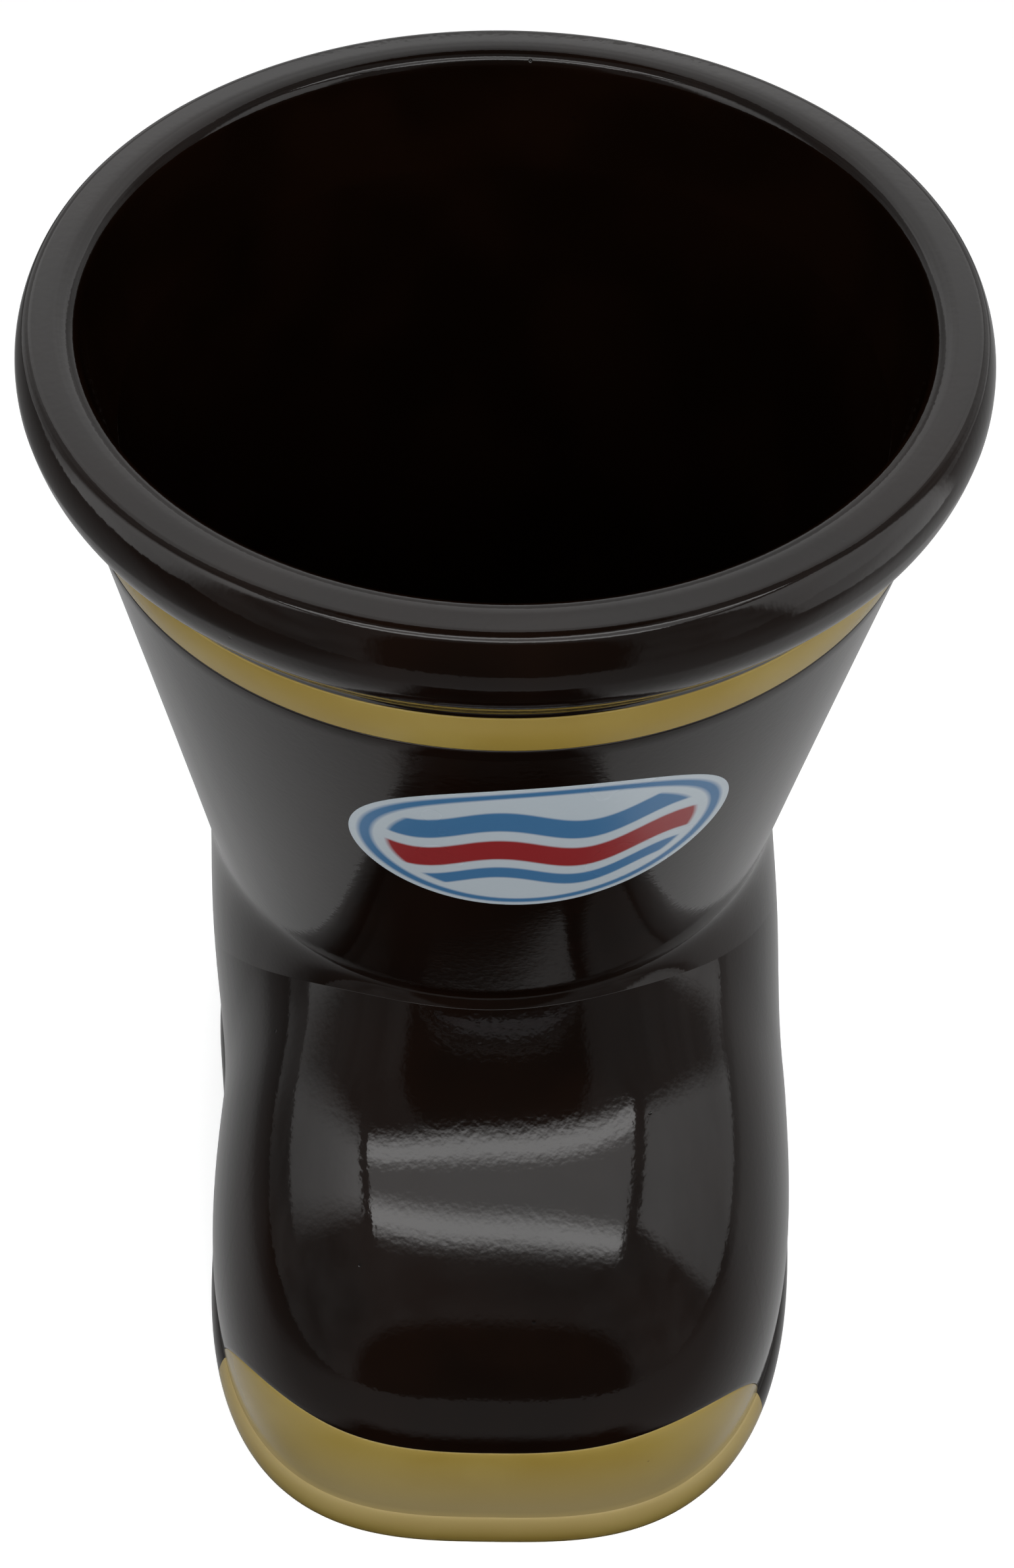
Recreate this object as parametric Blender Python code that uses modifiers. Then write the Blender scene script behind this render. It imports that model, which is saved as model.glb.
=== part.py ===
"""Boot-shaped ceramic mug, built as its cast and fitted pieces.

The toe points to -Y and the mouth opens upwards. The origin is on the floor, under the middle of the
whole mug. All sizes are in metres.
"""
import math

import bmesh
import bpy

# Whole mug
HEIGHT = 0.130                # floor to the top of the rim
WALL = 0.0045                 # cast wall of the leg and the foot
GAP = 0.0003                  # clearance at every joint
SPIGOT_WALL = 0.0018          # thinned wall that enters the next piece
SPIGOT_HEIGHT = 0.003         # how far it enters

# Rim roll and cuff band
MOUTH_RADIUS = 0.039          # inside of the rim roll
RIM_THICKNESS = 0.006         # across the rim roll
ROLL_HEIGHT = 0.0127          # top of the rim down to the top of the band
BAND_HEIGHT = 0.0049
BAND_DEPTH = 0.0016           # how deep the band is let into the leg

# Leg
LEG_TOP_RADIUS = 0.0416       # outside, at the top of the band
WAIST_RADIUS = 0.0321         # outside, at the waist that the foot hides
WAIST_LEVEL = 0.020           # floor to the waist
LEG_FLARE = 1.1               # 1 is a straight taper, more widens faster near the top
LEG_LEAN = math.radians(5.7)  # towards the heel, from the band down to the waist
LEG_SWAY = -math.radians(1)   # to the side
ANKLE_HEIGHT = 0.058          # floor to the ankle joint

# Foot, measured from the axis of the rim where the foot meets the outsole
TOE_REACH = 0.071
HEEL_REACH = 0.039
FOOT_HALF_WIDTH = 0.0363
BALL_REACH = 0.0222           # forward to the widest place
BALL_SWING = 0.0015           # sideways bow of a left boot
TOE_SLEW = math.radians(2.0)  # turn of the middle line, from the widest place to the toe
TOE_SQUARENESS = 2.86         # 2 is an ellipse, more is blunter
HEEL_SQUARENESS = 2.2
INSTEP_FULLNESS = 2.55        # 2 is a round dome, more is fuller
INSTEP_FILLET = 0.009         # softens the bend from the leg to the instep, wider at the sides

# Outsole
SOLE_HEIGHT = 0.008
FLOOR_THICKNESS = 0.005       # under the drink
LIP = 0.0012                  # how far the sole edge stands proud of the foot
LIP_ROUND = 0.0022            # how far that edge curves back in

# Toe bumper
BUMPER_HEIGHT = 0.025         # floor to the upper edge, in front
BUMPER_LENGTH = 0.018         # toe to the back end, at the floor
BUMPER_FALL = 0.0145          # length over which the upper edge falls to the floor
BUMPER_THICKNESS = 0.0012

# Printed transfer on the front of the leg
TRANSFER_WIDTH = 0.038
TRANSFER_HEIGHT = 0.025
TRANSFER_LEVEL = 0.093        # floor to its middle
TRANSFER_TURN = math.radians(7.0)
TRANSFER_FILM = 0.0003

# Fineness of the round surfaces
SIDES = 56
DOME_STEPS = 14
LEG_STEPS = 5
ARC_STEPS = 8
TRANSFER_RINGS = 4
SHARP_ANGLE = math.radians(40.0)

# Finishes: colour and roughness
BROWN_GLAZE = ((0.005, 0.0035, 0.003), 0.08)
TAN_GLAZE = ((0.27, 0.20, 0.075), 0.18)
TRANSFER_INK = ((0.42, 0.48, 0.52), 0.25)

# Places worked out from the sizes
rim_radius = MOUTH_RADIUS + RIM_THICKNESS
rim_middle = HEIGHT - RIM_THICKNESS / 2
band_top = HEIGHT - ROLL_HEIGHT
band_bottom = band_top - BAND_HEIGHT
spigot_inset = WALL - SPIGOT_WALL
socket_inset = spigot_inset - GAP
neck_inset = BAND_DEPTH + GAP
fillet_reach = INSTEP_FILLET * TOE_REACH


def leg_radius(z):
    """Outside radius of the leg, which narrows from the band down to its waist."""
    up = max((z - WAIST_LEVEL) / (band_top - WAIST_LEVEL), 0.0)
    return WAIST_RADIUS + (LEG_TOP_RADIUS - WAIST_RADIUS) * up ** LEG_FLARE


def leg_middle(z):
    """Middle of the leg at height z: on the axis of the rim down to the band, then leaning away."""
    below = max(band_bottom - max(z, WAIST_LEVEL), 0.0)
    return math.tan(LEG_SWAY) * below, math.tan(LEG_LEAN) * below


def smooth_max(a, b, blend):
    """The larger of two values, rounded where they are nearly equal."""
    near = max(blend - abs(a - b), 0.0)
    return max(a, b) + near * near / (4 * blend)


def sole_outline(turn, inset):
    """Point on the outline of the foot's sole, drawn in by inset: blunt toe, rounder heel."""
    across, along = math.cos(turn), math.sin(turn)
    squareness, reach = HEEL_SQUARENESS, HEEL_REACH + BALL_REACH
    if along < 0:
        squareness, reach = TOE_SQUARENESS, TOE_REACH - BALL_REACH
    sideways = math.copysign(abs(across) ** (2 / squareness), across)
    lengthways = math.copysign(abs(along) ** (2 / squareness), along)
    ahead = lengthways * (reach - inset)
    middle = BALL_SWING + math.tan(TOE_SLEW) * min(ahead, 0.0)
    return middle + sideways * (FOOT_HALF_WIDTH - inset), ahead - BALL_REACH


def boot_ring(z, inset=0.0, level=None):
    """Horizontal outline of the boot at height z, drawn in by inset and placed at level.

    Each point is looked for from the axis outwards. It lies on the leaning leg or on the dome of the
    foot, whichever is further out, with a fillet between the two.
    """
    shape_z = max(z, SOLE_HEIGHT)
    up = min((shape_z - SOLE_HEIGHT) / (ANKLE_HEIGHT - SOLE_HEIGHT - inset), 1.0)
    dome = math.sqrt(1 - up ** INSTEP_FULLNESS)
    middle_x, middle_y = leg_middle(shape_z)
    points = []
    for side in range(SIDES):
        x, y = sole_outline(math.tau * side / SIDES, inset)
        sole = math.hypot(x, y)
        x, y = x / sole, y / sole
        forward = x * middle_x + y * middle_y
        sideways = x * middle_y - y * middle_x
        leg = forward + math.sqrt((leg_radius(shape_z) - inset) ** 2 - sideways ** 2)
        reach = smooth_max(leg, sole * dome, fillet_reach / sole)
        points.append((reach * x, reach * y, z if level is None else level))
    return points


def leg_levels(start, end):
    """Heights of the leg's rings, evenly spaced."""
    return [start + (end - start) * step / LEG_STEPS for step in range(LEG_STEPS + 1)]


def foot_levels(inset=0.0):
    """Heights of the foot's rings, closer together where the instep flattens."""
    rise = ANKLE_HEIGHT - SOLE_HEIGHT - inset
    turns = [math.pi / 2 * step / DOME_STEPS for step in range(DOME_STEPS + 1)]
    return [SOLE_HEIGHT + rise * math.sin(turn) for turn in turns]


def lip_rings():
    """Rounded edge of the outsole, from the floor up to the crease under the foot."""
    rings = []
    for step in range(ARC_STEPS + 1):
        turn = math.pi * (step / ARC_STEPS - 0.5)
        proud = LIP - LIP_ROUND * (1 - math.cos(turn))
        rings.append(boot_ring(SOLE_HEIGHT, -proud, SOLE_HEIGHT / 2 * (1 + math.sin(turn))))
    return rings


def collection(name):
    made = bpy.data.collections.new(name)
    bpy.context.scene.collection.children.link(made)
    return made


def glaze(name, finish):
    colour, roughness = finish
    material = bpy.data.materials.new(name)
    material.use_nodes = True
    shader = material.node_tree.nodes["Principled BSDF"]
    shader.inputs["Base Color"].default_value = (*colour, 1.0)
    shader.inputs["Roughness"].default_value = roughness
    shader.inputs["Metallic"].default_value = 0.0
    return material


def add_piece(name, mesh, finish):
    piece = bpy.data.objects.new(name, mesh)
    parts.objects.link(piece)
    piece.parent = rim_axis
    piece.data.materials.append(glaze(f"{name}_finish", finish))
    piece.data.shade_smooth()
    piece.data.set_sharp_from_angle(angle=SHARP_ANGLE)
    return piece


def add_cutter(name, mesh):
    cutter = bpy.data.objects.new(name, mesh)
    cutters.objects.link(cutter)
    cutter.parent = rim_axis
    cutter.hide_render = True
    cutter.display_type = "WIRE"
    return cutter


def loft(name, rings, looped=False):
    """Skin over rings of points: capped at both ends, or joined from the last ring to the first."""
    shape = bmesh.new()
    rows = [[shape.verts.new(point) for point in ring] for ring in rings]
    pairs = list(zip(rows, rows[1:]))
    if looped:
        pairs.append((rows[-1], rows[0]))
    for lower, upper in pairs:
        for side in range(SIDES):
            ahead = (side + 1) % SIDES
            shape.faces.new((lower[side], lower[ahead], upper[ahead], upper[side]))
    if not looped:
        shape.faces.new(reversed(rows[0]))
        shape.faces.new(rows[-1])
    bmesh.ops.recalc_face_normals(shape, faces=shape.faces)
    mesh = bpy.data.meshes.new(name)
    shape.to_mesh(mesh)
    shape.free()
    return mesh


def turned(name, profile, finish):
    """A closed profile of radius and height, run down its outer side, and spun round the axis of the rim."""
    mesh = bpy.data.meshes.new(name)
    count = len(profile)
    edges = [(point, (point + 1) % count) for point in range(count)]
    mesh.from_pydata([(radius, 0.0, z) for radius, z in profile], edges, [])
    piece = add_piece(name, mesh, finish)
    spin = piece.modifiers.new("turn", "SCREW")
    spin.axis = "Z"
    spin.angle = math.tau
    spin.steps = SIDES
    spin.render_steps = SIDES
    spin.use_merge_vertices = True
    spin.merge_threshold = 0.00001
    spin.use_smooth_shade = True
    return piece


def boolean(piece, tool, operation="DIFFERENCE"):
    change = piece.modifiers.new(tool.name, "BOOLEAN")
    change.operation = operation
    change.solver = "EXACT"
    change.object = tool


def toe_block(name, margin):
    """Everything in front of the bumper's upper edge, seen from the side, as one wide block."""
    fall_start = BUMPER_LENGTH - BUMPER_FALL - TOE_REACH
    outline = [(-2 * TOE_REACH, -SOLE_HEIGHT)]
    outline.append((fall_start + BUMPER_FALL + margin, -SOLE_HEIGHT))
    for step in range(ARC_STEPS + 1):
        turn = math.pi / 2 * step / ARC_STEPS
        y = fall_start + (BUMPER_FALL + margin) * math.cos(turn)
        outline.append((y, (BUMPER_HEIGHT + margin) * math.sin(turn)))
    outline.append((-2 * TOE_REACH, BUMPER_HEIGHT + margin))
    half_width = 2 * FOOT_HALF_WIDTH
    shape = bmesh.new()
    face = shape.faces.new([shape.verts.new((-half_width, y, z)) for y, z in outline])
    grown = bmesh.ops.extrude_face_region(shape, geom=[face])
    sides = [item for item in grown["geom"] if isinstance(item, bmesh.types.BMVert)]
    bmesh.ops.translate(shape, verts=sides, vec=(2 * half_width, 0.0, 0.0))
    bmesh.ops.recalc_face_normals(shape, faces=shape.faces)
    mesh = bpy.data.meshes.new(name)
    shape.to_mesh(mesh)
    shape.free()
    return add_cutter(name, mesh)


def toe_core(name, inset):
    """The foot under the bumper: its outline drawn in, run straight down past the floor."""
    levels = [z for z in foot_levels() if z < 2 * BUMPER_HEIGHT]
    rings = [boot_ring(SOLE_HEIGHT, inset, -2 * SOLE_HEIGHT)]
    rings += [boot_ring(z, inset) for z in levels]
    return add_cutter(name, loft(name, rings))


def build_rim_roll():
    """The drinking rim: a round roll whose outer side sweeps in to the leg."""
    half = RIM_THICKNESS / 2
    profile = []
    for step in range(ARC_STEPS + 1):
        turn = math.pi * (1 - step / ARC_STEPS)
        radius = MOUTH_RADIUS + half + half * math.cos(turn)
        profile.append((radius, rim_middle + half * math.sin(turn)))
    foot_z = band_top + GAP
    for step in range(1, ARC_STEPS + 1):
        down = step / ARC_STEPS
        z = rim_middle + (foot_z - rim_middle) * down
        proud = (rim_radius - leg_radius(rim_middle)) * math.cos(math.pi / 2 * down) ** 2
        profile.append((leg_radius(z) + proud, z))
    socket_top = band_top + SPIGOT_HEIGHT + GAP
    profile.append((leg_radius(foot_z) - neck_inset + GAP, foot_z))
    profile.append((leg_radius(socket_top) - neck_inset + GAP, socket_top))
    profile.append((leg_radius(socket_top) - WALL, socket_top))
    return turned("rim_roll", profile, BROWN_GLAZE)


def build_cuff_band():
    """The tan ring that slips over the leg's neck and rests on its shoulder."""
    low = band_bottom + GAP
    profile = [
        (leg_radius(band_top), band_top),
        (leg_radius(low), low),
        (leg_radius(low) - BAND_DEPTH, low),
        (leg_radius(band_top) - BAND_DEPTH, band_top),
    ]
    return turned("cuff_band", profile, TAN_GLAZE)


def build_leg():
    """The round upper: a neck for the band and the roll on top, a socket for the foot below."""
    neck_top = band_top + SPIGOT_HEIGHT
    low = ANKLE_HEIGHT + GAP
    socket_top = ANKLE_HEIGHT + SPIGOT_HEIGHT + GAP
    rings = [boot_ring(neck_top, neck_inset), boot_ring(band_bottom, neck_inset)]
    rings += [boot_ring(z) for z in leg_levels(band_bottom, low)]
    rings += [boot_ring(low, socket_inset), boot_ring(socket_top, socket_inset)]
    rings += [boot_ring(z, WALL) for z in leg_levels(socket_top, band_bottom)]
    rings.append(boot_ring(neck_top, WALL))
    return add_piece("leg", loft("leg", rings, looped=True), BROWN_GLAZE)


def build_foot():
    """The hollow lower: spigots at the ankle and the sole, the domed toe between them."""
    spigot_top = ANKLE_HEIGHT + SPIGOT_HEIGHT
    low = SOLE_HEIGHT + GAP
    spigot_low = FLOOR_THICKNESS + GAP
    rings = [boot_ring(z) for z in reversed(foot_levels()[1:])]
    rings.append(boot_ring(low))
    rings.append(boot_ring(low, spigot_inset))
    rings.append(boot_ring(SOLE_HEIGHT, spigot_inset, spigot_low))
    rings.append(boot_ring(SOLE_HEIGHT, WALL, spigot_low))
    rings += [boot_ring(z, WALL) for z in foot_levels(WALL)]
    rings.append(boot_ring(spigot_top, WALL))
    rings.append(boot_ring(spigot_top, spigot_inset))
    rings.append(boot_ring(ANKLE_HEIGHT, spigot_inset))
    return add_piece("foot", loft("foot", rings, looped=True), BROWN_GLAZE)


def build_outsole():
    """The slab under the foot: a rounded edge, and a tray that takes the foot's spigot."""
    rings = lip_rings()
    rings.append(boot_ring(SOLE_HEIGHT, socket_inset))
    rings.append(boot_ring(SOLE_HEIGHT, socket_inset, FLOOR_THICKNESS))
    return add_piece("outsole", loft("outsole", rings), BROWN_GLAZE)


def build_toe_bumper(foot, outsole):
    """The tan toe guard, let into the foot and wrapped over the front of the outsole."""
    rings = lip_rings() + [boot_ring(SOLE_HEIGHT + GAP)]
    rings += [boot_ring(z) for z in foot_levels()[1:] if z < 2 * BUMPER_HEIGHT]
    bumper = add_piece("toe_bumper", loft("toe_bumper", rings), TAN_GLAZE)
    boolean(bumper, toe_block("toe_block", 0.0), "INTERSECT")
    boolean(bumper, toe_core("toe_core", BUMPER_THICKNESS))
    recess = toe_block("toe_recess", GAP)
    boolean(recess, toe_core("toe_recess_core", BUMPER_THICKNESS + GAP))
    boolean(foot, recess)
    boolean(outsole, recess)
    return bumper


def build_front_transfer():
    """The oval printed film, wrapped round the front of the leg."""
    shape = bmesh.new()
    bmesh.ops.create_circle(shape, cap_ends=True, cap_tris=True, radius=1.0, segments=SIDES // 2)
    spokes = [edge for edge in shape.edges if not edge.is_boundary]
    bmesh.ops.subdivide_edges(shape, edges=spokes, cuts=TRANSFER_RINGS - 1)
    round_leg = leg_radius(TRANSFER_LEVEL)
    for vert in shape.verts:
        z = TRANSFER_LEVEL + vert.co.y * TRANSFER_HEIGHT / 2
        turn = TRANSFER_TURN + vert.co.x * TRANSFER_WIDTH / 2 / round_leg
        radius = leg_radius(z) + GAP
        middle_x, middle_y = leg_middle(z)
        vert.co = (middle_x + radius * math.sin(turn), middle_y - radius * math.cos(turn), z)
    mesh = bpy.data.meshes.new("front_transfer")
    shape.to_mesh(mesh)
    shape.free()
    piece = add_piece("front_transfer", mesh, TRANSFER_INK)
    film = piece.modifiers.new("film", "SOLIDIFY")
    film.thickness = TRANSFER_FILM
    film.offset = 1.0
    return piece


for old in list(bpy.data.objects):
    bpy.data.objects.remove(old)

parts = collection("boot_mug")
cutters = collection("cutters")
sole_ends = [y for x, y, z in boot_ring(SOLE_HEIGHT, -LIP)]
front_end = min(sole_ends)
back_end = max(rim_radius, max(sole_ends))
rim_axis = bpy.data.objects.new("rim_axis", None)
rim_axis.location = (0.0, -(front_end + back_end) / 2, 0.0)
parts.objects.link(rim_axis)

build_rim_roll()
build_cuff_band()
build_leg()
foot_piece = build_foot()
outsole_piece = build_outsole()
build_toe_bumper(foot_piece, outsole_piece)
build_front_transfer()
bpy.context.view_layer.update()
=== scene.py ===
# %% [markdown]
# # Dressing a ceramic boot mug
# The mug is cast in clay, rolled at the rim, dipped in a very dark brown glaze and painted tan in two
# places: a stripe under the rim and a guard round the toe. The frame that is loaded here holds its plain
# solids. They are right in size, but their flat facets would show in a glaze that mirrors the room. So each
# skin is built again, much finer and on the same sizes, and the fine skin stands in for the solid.

# %% Load the frame
import math

import bmesh
import bpy
from mathutils import Matrix, Vector


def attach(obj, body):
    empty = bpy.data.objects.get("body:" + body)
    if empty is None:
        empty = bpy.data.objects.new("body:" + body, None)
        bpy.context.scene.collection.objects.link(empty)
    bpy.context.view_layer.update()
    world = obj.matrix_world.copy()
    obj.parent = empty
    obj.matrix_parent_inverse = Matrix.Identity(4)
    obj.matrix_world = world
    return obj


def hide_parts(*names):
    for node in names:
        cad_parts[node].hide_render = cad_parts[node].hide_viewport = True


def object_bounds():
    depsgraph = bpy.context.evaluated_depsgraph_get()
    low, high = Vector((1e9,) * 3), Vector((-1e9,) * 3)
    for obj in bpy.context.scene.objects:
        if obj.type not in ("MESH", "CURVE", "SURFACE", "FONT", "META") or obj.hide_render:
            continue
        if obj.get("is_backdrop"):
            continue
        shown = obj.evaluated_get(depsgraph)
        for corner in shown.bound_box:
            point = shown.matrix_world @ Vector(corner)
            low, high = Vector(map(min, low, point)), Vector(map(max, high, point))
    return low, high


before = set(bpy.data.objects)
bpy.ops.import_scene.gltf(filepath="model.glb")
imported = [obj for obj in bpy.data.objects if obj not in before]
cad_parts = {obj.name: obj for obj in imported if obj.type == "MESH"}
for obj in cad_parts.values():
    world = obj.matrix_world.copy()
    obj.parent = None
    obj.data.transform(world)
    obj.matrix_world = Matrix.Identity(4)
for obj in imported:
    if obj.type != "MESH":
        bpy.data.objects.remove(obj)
cad_low, cad_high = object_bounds()
print("solids in the frame:", ", ".join(sorted(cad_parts)))

# %% [markdown]
# ## Sizes
# All sizes are in metres and agree with the solids. The rim and the stripe are round about one upright
# axis, and the toe points to -Y. The frame's box tells where that axis stands. Pieces that touch are kept a
# hairline apart, and every edge of the glaze is rounded a little, because melted glass never leaves a sharp
# corner.

# %% Sizes of the mug
HEIGHT = 0.130
WALL = 0.0045
MOUTH_RADIUS = 0.039
RIM_THICKNESS = 0.006
BAND_TOP = 0.1173
BAND_BOTTOM = 0.1124
BAND_DEPTH = 0.0016
LEG_TOP_RADIUS = 0.0416
ANKLE_HEIGHT = 0.058
TOE_REACH = 0.071
HEEL_REACH = 0.039
FOOT_HALF_WIDTH = 0.0363
SOLE_HEIGHT = 0.008
FLOOR_THICKNESS = 0.005
LIP = 0.0012
LIP_ROUND = 0.0017
HAIRLINE = 0.00004
EDGE_ROUND = 0.00018

RIM_RADIUS = MOUTH_RADIUS + RIM_THICKNESS
RIM_MIDDLE = HEIGHT - RIM_THICKNESS / 2
AXIS_Y = cad_low[1] + TOE_REACH + LIP
print(f"rim {2000 * RIM_RADIUS:.0f} mm across, its axis {1000 * AXIS_Y:.2f} mm behind the middle")

# %% [markdown]
# ## The outline of the boot
# Cut a boot level and you see a closed outline. At the leg it is a circle, which narrows on the way down
# and leans back to the heel. Lower down it is a long oval that reaches forward to the toe and shrinks like
# a dome. Look outwards from the axis: the skin lies on the leg or on the dome, whichever is further away,
# with a soft change between them. That change makes the bend of the instep and the hollows beside it. At
# the sides it is a full fillet, and towards the front some of the crease is left, as where a real boot
# folds.

# %% The outline
WAIST_RADIUS = 0.0321
WAIST_LEVEL = 0.020
LEG_FLARE = 1.1
LEG_LEAN = math.radians(5.7)
LEG_SWAY = -math.radians(1)
BALL_REACH = 0.0222
BALL_SWING = 0.0015
TOE_SLEW = math.radians(1.4)
TOE_SQUARENESS = 3.0
HEEL_SQUARENESS = 2.2
INSTEP_FULLNESS = 2.55
INSTEP_FILLET = 0.0092
BEND_CREASE = 0.5             # how much of a crease is left in front: 0 is a smooth fillet


def leg_radius(z):
    up = max((z - WAIST_LEVEL) / (BAND_TOP - WAIST_LEVEL), 0.0)
    return WAIST_RADIUS + (LEG_TOP_RADIUS - WAIST_RADIUS) * up ** LEG_FLARE


def leg_middle(z):
    below = max(BAND_BOTTOM - max(z, WAIST_LEVEL), 0.0)
    return math.tan(LEG_SWAY) * below, math.tan(LEG_LEAN) * below


def smooth_max(a, b, blend, softness=1.0):
    near = max(blend - abs(a - b), 0.0)
    return max(a, b) + softness * near * near / (4 * blend)


def sole_outline(turn, inset):
    """A point on the outline of the foot at the sole, drawn in by inset."""
    across, along = math.cos(turn), math.sin(turn)
    squareness, reach = HEEL_SQUARENESS, HEEL_REACH + BALL_REACH
    if along < 0:
        squareness, reach = TOE_SQUARENESS, TOE_REACH - BALL_REACH
    sideways = math.copysign(abs(across) ** (2 / squareness), across)
    lengthways = math.copysign(abs(along) ** (2 / squareness), along)
    ahead = lengthways * (reach - inset)
    middle = BALL_SWING + math.tan(TOE_SLEW) * min(ahead, 0.0)
    return middle + sideways * (FOOT_HALF_WIDTH - inset), ahead - BALL_REACH


def reaches(turn, z, inset=0.0):
    """The way outwards, how far the leg and the dome reach on it at height z, and how far the sole does."""
    z = max(z, SOLE_HEIGHT)
    up = min((z - SOLE_HEIGHT) / (ANKLE_HEIGHT - SOLE_HEIGHT - inset), 1.0)
    x, y = sole_outline(turn, inset)
    sole = math.hypot(x, y)
    x, y = x / sole, y / sole
    middle_x, middle_y = leg_middle(z)
    forward = x * middle_x + y * middle_y
    sideways = x * middle_y - y * middle_x
    leg = forward + math.sqrt((leg_radius(z) - inset) ** 2 - sideways ** 2)
    dome = sole * math.sqrt(1 - up ** INSTEP_FULLNESS)
    return x, y, leg, dome, sole


def outline(turn, z, inset=0.0):
    """Where the boot's outline passes at height z, seen from above and measured from the axis of the rim."""
    x, y, leg, dome, sole = reaches(turn, z, inset)
    softness = 1 - BEND_CREASE * max(-y, 0.0) ** 2
    reach = smooth_max(leg, dome, INSTEP_FILLET * TOE_REACH / sole, softness)
    return reach * x, reach * y


# %% [markdown]
# ## The edge of the sole
# The outsole stands proud of the foot with a rounded edge, like a welt. Glaze fills the crease above it, so
# the crease is drawn as a soft hollow and not as a corner. One function says how far the skin stands proud
# at each height, and every piece down there uses it.

# %% The sole edge
CREASE_RUN = 1.5


def sole_proud(z):
    """How far the skin stands out from the foot's outline at height z."""
    if z > SOLE_HEIGHT:
        lip = LIP - LIP_ROUND - CREASE_RUN * (z - SOLE_HEIGHT)
    else:
        along = 2 * z / SOLE_HEIGHT - 1
        lip = LIP - LIP_ROUND * (1 - math.sqrt(max(1 - along ** 2, 0.0)))
    return lip if z < SOLE_HEIGHT / 2 else smooth_max(lip, 0.0, LIP)


def skin(turn, z, inset=0.0):
    """A point of the boot's skin, or of a shape drawn in by inset below it."""
    x, y = outline(turn, z, inset - sole_proud(z))
    return Vector((x, y + AXIS_Y, z))


# %% [markdown]
# ## The line of the toe guard
# Seen from the side, the guard's upper edge runs back along the toe and then falls to the floor in a
# quarter of an ellipse. It was painted by hand, so it dips in the middle, climbs towards the sides, and
# reaches further back on one side. Wrapped round the foot, this becomes a height for every turn. The foot's
# mesh and the guard's mesh both start from that line, so their edges agree everywhere and no cutting is
# needed.

# %% Columns of the mesh
GUARD_HEIGHT = 0.0234
GUARD_RISE = 0.004            # the edge climbs by this towards the sides
GUARD_LENGTH = 0.018
GUARD_FALL = 0.0145
GUARD_SKEW = 0.055            # the left end reaches further back than the right end
GUARD_END = 0.0006            # height of the guard's blunt ends above the crease
TOE_COLUMNS = 96
BODY_COLUMNS = 184
HALVINGS = 40
LOWEST_BEND = 0.030
FALL_START = GUARD_LENGTH - GUARD_FALL - TOE_REACH


def guard_line(x, y):
    """Height of the guard's upper edge, seen from the side."""
    along = min(max((y + GUARD_SKEW * x - FALL_START) / GUARD_FALL, 0.0), 1.0)
    height = GUARD_HEIGHT + GUARD_RISE * (x / FOOT_HALF_WIDTH) ** 2
    return height * math.sqrt(1 - along ** 2)


def halve(low, high, above):
    """The place between low and high where above(place) turns from true to false."""
    for _ in range(HALVINGS):
        middle = (low + high) / 2
        if above(middle):
            low = middle
        else:
            high = middle
    return low


def guard_height(turn):
    """Height at which the foot's skin meets the guard's upper edge on this turn."""
    highest = GUARD_HEIGHT + GUARD_RISE
    return halve(SOLE_HEIGHT, highest, lambda z: guard_line(*outline(turn, z)) > z)


toe_turn = 1.5 * math.pi
guard_ends = []
for way in (-1, 1):
    reach = halve(0.0, math.pi / 2, lambda t: guard_height(toe_turn + way * t) > SOLE_HEIGHT + GUARD_END)
    guard_ends.append(toe_turn + way * reach)
guard_turn = guard_ends[1] - guard_ends[0]
end_slit = HAIRLINE / FOOT_HALF_WIDTH
toe_turns = []
for column in range(TOE_COLUMNS + 1):
    toe_turns.append(guard_ends[0] + end_slit + column / TOE_COLUMNS * (guard_turn - 2 * end_slit))
body_turns = []
for column in range(BODY_COLUMNS + 1):
    body_turns.append(guard_ends[1] + column / BODY_COLUMNS * (math.tau - guard_turn))
columns = [(turn, guard_height(turn)) for turn in toe_turns]
columns += [(turn, SOLE_HEIGHT) for turn in body_turns]


def bend_height(turn):
    """Height at which the leg takes over from the dome."""
    def foot_side(z):
        x, y, leg, dome, sole = reaches(turn, z)
        return dome > leg
    return halve(LOWEST_BEND, ANKLE_HEIGHT, foot_side)


bends = [bend_height(turn) for turn, low in columns]
print(f"{len(columns)} columns, the guard covers {math.degrees(guard_turn):.0f} degrees of them")

# %% [markdown]
# ## Building up a wall, ring by ring
# A potter builds a wall from rings of clay, and extrude does the same: the last ring of edges is selected,
# it is extruded, and the new ring is set on the next outline. Every vertex of the first ring carries its
# column number as an attribute. Extrude copies attributes, so each new vertex knows which point of the next
# outline is its own.

# %% Ring tools
SHARP = math.radians(40)


def place_ring(piece, points):
    net = bmesh.from_edit_mesh(piece.data)
    column = net.verts.layers.int["column"]
    for vert in net.verts:
        if vert.select:
            vert.co = points[vert[column]]
    bmesh.update_edit_mesh(piece.data)


def start_ring(name, points, fill="NOTHING"):
    """A new piece in edit mode, with one closed ring of edges on the given points."""
    bpy.ops.object.select_all(action="DESELECT")
    bpy.ops.mesh.primitive_circle_add(vertices=len(points), radius=RIM_RADIUS, fill_type=fill)
    piece = bpy.context.object
    piece.name = name
    piece.data.name = name
    bpy.ops.object.mode_set(mode="EDIT")
    net = bmesh.from_edit_mesh(piece.data)
    column = net.verts.layers.int.new("column")
    for number, vert in enumerate(net.verts):
        vert[column] = number
    place_ring(piece, points)
    return piece


def add_rings(piece, rings):
    for points in rings:
        bpy.ops.mesh.extrude_region_move()
        place_ring(piece, points)


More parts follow.
